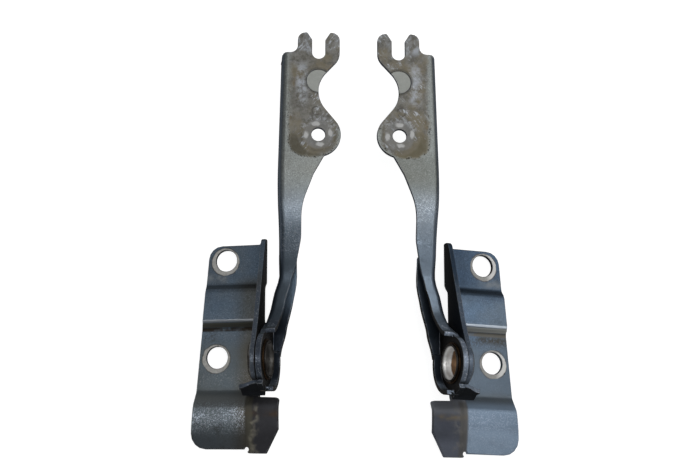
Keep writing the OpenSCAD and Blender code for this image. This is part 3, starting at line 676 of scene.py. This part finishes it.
def bolt_seat(f, colour, top, wobble, mottled):
    """Seat of the bonnet bolt, with a soft dark halo, pale scuffs above and bright marks beside the hole."""
    du, dv = f.offset(BOLT_X, BOLT_HOLE_Y)
    rounded = f.plus(f.length(du, dv), f.times(wobble, 0.5))
    halo = f.times(f.within(rounded, 10.8, 13.2, 1.6), top, f.rise(mottled, 0.34, 0.60))
    colour = f.coat(colour, HALO_DARK, f.own(HALO_STRENGTH), halo)
    seat = f.times(f.rise(rounded, 11.5, 9.5), top)
    colour = f.coat(colour, f.tint(mottled, *SEAT_METAL), 0.7, seat)
    scuffs = f.times(f.within(rounded, 9.5, 13.0, 2), f.rise(dv, 1, 6), top,
                     f.patches(2.2, 0.46, 0.6, 5, 0.8))
    colour = f.coat(colour, SEAT_SCUFF, 0.7, scuffs)
    for direction, reach, along_y in BOLT_MARKS:
        angle = math.radians(direction + BOLT_MARK_TURN * f.side)
        su, sv = f.offset(BOLT_X + reach * math.cos(angle), BOLT_HOLE_Y + reach * math.sin(angle))
        across, along = (su, sv) if along_y else (sv, su)
        oval = f.calc("SQRT", f.plus(f.times(across, across, 2.2), f.times(along, along, 0.7)))
        oval = f.plus(oval, f.wander(2.2, 4, 0.7, 4.5))
        colour = f.coat(colour, BOLT_MARK, 0.85, f.rise(oval, 3.0, 1.3), top)
    return colour


def recess_and_prongs(f, colour, top):
    """Paint kept in the recess inside a dark line, a press tool's ring, and rubbed and stained prongs."""
    dish = f.distance(BOLT_X, RECESS_Y)
    kept = f.times(f.rise(dish, 8.7, 7.6), top)
    colour = f.tint(kept, colour, f.tint(f.grain(1.2, 2, 0.6), *RECESS_PAINT))
    line = f.times(f.within(dish, 8.5, 9.9, 0.6), top, f.patches(4, 0.3, 0.5))
    colour = f.coat(colour, RECESS_LINE, 0.55, line)
    press = f.within(f.distance(*PRESS_MARK), 2.6, 3.3, 0.35)
    colour = f.coat(colour, PRESS_LINE, 0.6, press, top, f.patches(3, 0.35, 0.5))
    prong = f.times(f.rise(f.y, SLOT_END_Y - 4, SLOT_END_Y + 3), top)
    rub = f.patches(4.0, 0.42, 0.66, 4, 0.65, (1.0, 0.5, 1.0), 20)
    outer = f.blend(f.rise(f.x, BOLT_X - 3, BOLT_X + 3), 0.35, 0.85)
    colour = f.coat(colour, PRONG_RUB, outer, prong, rub)
    return f.coat(colour, PRONG_STAIN, 0.5, prong, f.patches(5, 0.54, 0.70, 4, 0.65))


def arm_finish(side, seed):
    f = Finish(SIDE_NAMES[side] + "_arm_paint", ARM_TURN, ARM_ORIGIN, side, seed)
    colour, rough, normal, fleck = paint_layers(f, ARM_GREY, ARM_CLOUD)
    top = f.rise(f.out_w, *LEVEL)
    colour = arm_tones(f, colour, fleck, top)
    colour = channel_and_ear(f, colour)
    colour, worn, wobble, mottled = worn_patch(f, colour, top)
    colour = bolt_seat(f, colour, top, wobble, mottled)
    colour = recess_and_prongs(f, colour, top)
    colour, rough = edge_wear(f, colour, rough)
    rough = f.blend(worn, rough, f.blend(mottled, 0.42, 0.62))
    return f.done(colour, rough, f.blend(worn, PAINT_METALLIC, WORN_METALLIC), normal)


def metal_finish(name, side, seed, metal, bore=None):
    """Mottled, dirty metal; a rivet's bore is painted near white on the right hinge as a painted highlight
    and dark metal on the left, with a brown stain deep inside.
    """
    pale, dark, grime, roughness = metal
    f = Finish(SIDE_NAMES[side] + name, BRACKET_TURN, PIVOT, side, seed)
    colour = f.tint(f.grain(2.2, 4, 0.7), pale, dark)
    dirty = f.patches(5, 0.44, 0.62)
    colour = f.coat(colour, grime, 0.75, dirty)
    if bore:
        # Painted highlight filling the right rivet's bore; the left one's is dark metal
        inner = f.rise(f.length(f.y, f.z), 11.2, 10.4)
        colour = f.coat(colour, bore, 0.95, inner)
        deep = f.plus(f.x, f.wander(4, 3, 0.6, 2))
        colour = f.coat(colour, BORE_STAIN, 0.95, inner, f.rise(deep, -1.6, -0.4))
    rough = f.blend(dirty, roughness, roughness + 0.25)
    return f.done(colour, rough, METAL_METALLIC, f.relief(f.grain(0.9), METAL_DEPTH))


def softened(node, body, radius, mat):
    """A copy of a solid with its sharp edges rounded, in place of the solid itself."""
    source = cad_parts[node]
    bm = bmesh.new()
    bm.from_mesh(source.data)
    bmesh.ops.remove_doubles(bm, verts=bm.verts, dist=MERGE_POINTS)
    bmesh.ops.dissolve_limit(bm, angle_limit=FLAT_ANGLE, verts=bm.verts, edges=bm.edges)
    edge = bm.faces.layers.float.new("edge")
    sharp = [e for e in bm.edges if e.is_manifold and e.calc_face_angle(0) > SHARP_ANGLE]
    made = bmesh.ops.bevel(bm, geom=sharp, offset=radius, offset_type="OFFSET", segments=2, profile=0.5,
                           affect="EDGES", clamp_overlap=False, material=-1)
    for face in made["faces"]:
        face[edge] = 1.0
    bmesh.ops.dissolve_degenerate(bm, dist=MERGE_SLIVERS, edges=bm.edges)
    for face in bm.faces:
        face.smooth = True
    for e in bm.edges:
        e.smooth = not (e.is_manifold and e.calc_face_angle(0) > CREASE_ANGLE)
    bmesh.ops.triangulate(bm, faces=[face for face in bm.faces if len(face.verts) > 4])
    mesh = bpy.data.meshes.new(node + "_surface")
    bm.to_mesh(mesh)
    bm.free()
    piece = bpy.data.objects.new(node + "_surface", mesh)
    bpy.context.collection.objects.link(piece)
    mesh.materials.append(mat)
    even = piece.modifiers.new("even_shading", "WEIGHTED_NORMAL")
    even.keep_sharp = True
    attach(piece, body)
    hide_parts(node)


def dress_hinges():
    for side, name in SIDE_NAMES.items():
        seed = HINGE_SEEDS[side]
        arm = name + "_arm"
        softened(name + "_body_bracket", "brackets", SHEET_EDGE, bracket_finish(side, seed))
        softened(name + "_bonnet_arm", arm, SHEET_EDGE, arm_finish(side, seed + ARM_SEED))
        steel = metal_finish("_rivet_steel", side, seed + RIVET_SEED, RIVET_STEEL, BORE_HIGHLIGHT_AND_METAL[side])
        bronze = metal_finish("_bush_bronze", side, seed + BUSH_SEED, BUSH_BRONZE)
        washer = metal_finish("_washer_steel", side, seed + WASHER_SEED, WASHER_STEEL)
        softened(name + "_pivot_rivet", "brackets", RIVET_EDGE, steel)
        softened(name + "_backing_washer", "brackets", BUSH_EDGE, washer)
        softened(name + "_inner_bush", arm, BUSH_EDGE, bronze)
        softened(name + "_outer_bush", arm, BUSH_EDGE, bronze)


def floor_material():
    """Matt grey to the lamps' light, and white where it is seen, directly or as a reflection."""
    mat = bpy.data.materials.new("white_floor")
    mat.use_nodes = True
    nodes, links = mat.node_tree.nodes, mat.node_tree.links
    nodes.clear()
    out = nodes.new("ShaderNodeOutputMaterial")
    matt = nodes.new("ShaderNodeBsdfDiffuse")
    matt.inputs["Color"].default_value = (FLOOR_GREY, FLOOR_GREY, FLOOR_GREY, 1)
    rays = nodes.new("ShaderNodeLightPath")
    seen = rays.outputs["Is Camera Ray"]
    for kind in ("Is Glossy Ray", "Is Transmission Ray"):
        either = nodes.new("ShaderNodeMath")
        either.operation = "MAXIMUM"
        links.new(seen, either.inputs[0])
        links.new(rays.outputs[kind], either.inputs[1])
        seen = either.outputs[0]
    share = nodes.new("ShaderNodeMath")
    share.operation = "MULTIPLY"
    links.new(seen, share.inputs[0])
    share.inputs[1].default_value = FLOOR_GLOW
    glow = nodes.new("ShaderNodeEmission")
    links.new(share.outputs[0], glow.inputs["Strength"])
    both = nodes.new("ShaderNodeAddShader")
    links.new(matt.outputs[0], both.inputs[0])
    links.new(glow.outputs[0], both.inputs[1])
    links.new(both.outputs[0], out.inputs["Surface"])
    return mat


def white_floor():
    bm = bmesh.new()
    bmesh.ops.create_grid(bm, x_segments=1, y_segments=1, size=FLOOR_REACH)
    mesh = bpy.data.meshes.new("floor")
    bm.to_mesh(mesh)
    bm.free()
    floor = bpy.data.objects.new("floor", mesh)
    floor.location.z = cad_box[0][2]
    bpy.context.collection.objects.link(floor)
    mesh.materials.append(floor_material())


def soft_lamp(name, place, aim, width, length, power):
    lamp = bpy.data.lights.new(name, "AREA")
    lamp.shape = "RECTANGLE"
    lamp.size = width
    lamp.size_y = length
    lamp.energy = power
    obj = bpy.data.objects.new(name, lamp)
    obj.location = place
    obj.rotation_euler = (Vector(aim) - Vector(place)).to_track_quat("-Z", "Y").to_euler()
    bpy.context.collection.objects.link(obj)


def studio_light():
    scene = bpy.context.scene
    world = bpy.data.worlds.new("studio")
    world.use_nodes = True
    scene.world = world
    sky = world.node_tree.nodes["Background"]
    sky.inputs["Color"].default_value = SKY_COLOUR
    sky.inputs["Strength"].default_value = SKY_STRENGTH
    for lamp in LAMPS:
        soft_lamp(*lamp)
    scene.view_settings.view_transform = "Standard"


def photo_camera():
    """Looks down at the pair from 76 degrees, a little left of its middle."""
    right = Vector((1, 0, 0))
    up = Vector((0, math.sin(CAMERA_TILT), math.cos(CAMERA_TILT)))
    ahead = Vector((0, math.cos(CAMERA_TILT), -math.sin(CAMERA_TILT)))
    stand = ARM_ORIGIN + right * CAMERA_ASIDE + up * CAMERA_UP - ahead * CAMERA_BACK
    cam = bpy.data.cameras.new("camera")
    cam.sensor_width = CAMERA_SENSOR
    cam.lens = CAMERA_LENS
    cam.shift_x, cam.shift_y = CAMERA_SHIFT
    obj = bpy.data.objects.new("camera", cam)
    axes = Matrix((right, up, -ahead)).transposed()
    obj.rotation_euler = (axes @ Matrix.Rotation(CAMERA_ROLL, 3, "Z")).to_euler()
    obj.location = stand / MM_PER_M
    bpy.context.collection.objects.link(obj)
    bpy.context.scene.camera = obj


dress_hinges()
white_floor()
studio_light()
photo_camera()
